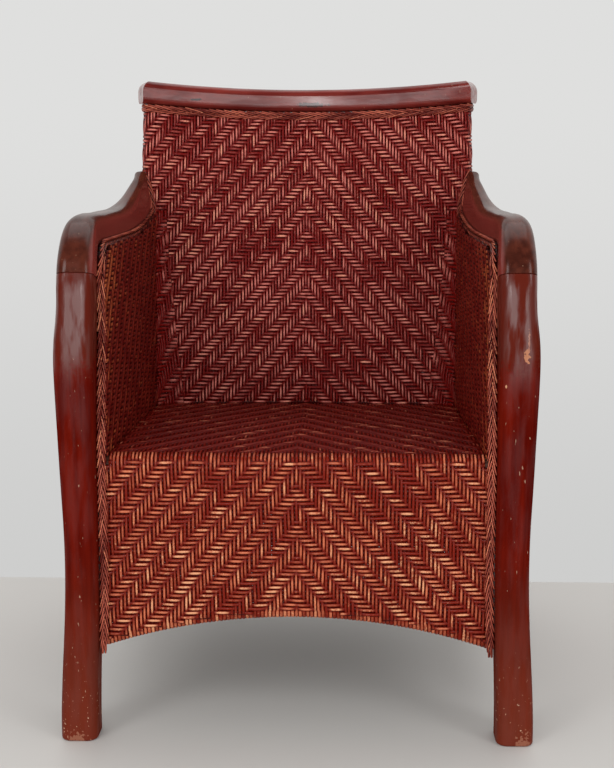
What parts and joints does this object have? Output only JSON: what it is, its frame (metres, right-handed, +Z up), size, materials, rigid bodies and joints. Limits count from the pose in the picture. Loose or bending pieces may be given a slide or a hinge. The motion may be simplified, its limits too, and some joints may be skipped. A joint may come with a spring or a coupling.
{
  "type": "woven rattan armchair",
  "caption": "Low armchair with bent lacquered arms and legs, a hollow woven back under a dipped crest rail, and a woven seat that rolls over into an arched front skirt.",
  "frame": {"origin": "on the floor under the middle of the chair's bounding box", "axes": "+Z up, +Y towards the back, +X to the right seen from the front"},
  "size_m": [0.64, 0.6104, 0.9049],
  "materials": {
    "lacquered_wood": "gloss lacquer, worn at edges",
    "frame_wood": "plain sawn wood",
    "rattan_pole": "stained pole",
    "woven_cane": "stained satin cane",
    "braided_cane": "stained satin cane",
    "dowel_wood": "plain",
    "screw_steel": "zinc plated"
  },
  "bodies": {
    "root": {"crest_rail": "lacquered_wood", "left_front_leg": "lacquered_wood", "right_front_leg": "lacquered_wood", "left_arm": "lacquered_wood", "right_arm": "lacquered_wood", "left_rear_leg": "lacquered_wood", "right_rear_leg": "lacquered_wood", "front_seat_rail": "frame_wood", "rear_seat_rail": "frame_wood", "left_side_seat_rail": "frame_wood", "right_side_seat_rail": "frame_wood", "left_front_corner_block": "frame_wood", "right_front_corner_block": "frame_wood", "left_rear_corner_block": "frame_wood", "right_rear_corner_block": "frame_wood", "seat_slat_1": "rattan_pole", "seat_slat_2": "rattan_pole", "seat_slat_3": "rattan_pole", "seat_slat_4": "rattan_pole", "back_stave_1": "rattan_pole", "back_stave_2": "rattan_pole", "back_stave_3": "rattan_pole", "back_stave_4": "rattan_pole", "back_stave_5": "rattan_pole", "left_side_upright_1": "rattan_pole", "right_side_upright_1": "rattan_pole", "left_side_upright_2": "rattan_pole", "right_side_upright_2": "rattan_pole", "front_arch_rail": "rattan_pole", "rear_arch_rail": "rattan_pole", "left_side_arch_rail": "rattan_pole", "right_side_arch_rail": "rattan_pole", "seat_and_skirt_weave": "woven_cane", "back_weave_front": "woven_cane", "back_weave_rear": "woven_cane", "rear_skirt_weave": "woven_cane", "left_inner_side_weave": "woven_cane", "right_inner_side_weave": "woven_cane", "left_outer_side_weave": "woven_cane", "right_outer_side_weave": "woven_cane", "crest_braid": "braided_cane", "left_front_edge_braid": "braided_cane", "right_front_edge_braid": "braided_cane", "left_outer_edge_braid": "braided_cane", "right_outer_edge_braid": "braided_cane", "rail_dowels": "dowel_wood", "arm_dowels": "dowel_wood", "crest_dowels": "dowel_wood", "block_screws": "screw_steel"}
  },
  "joints": []
}
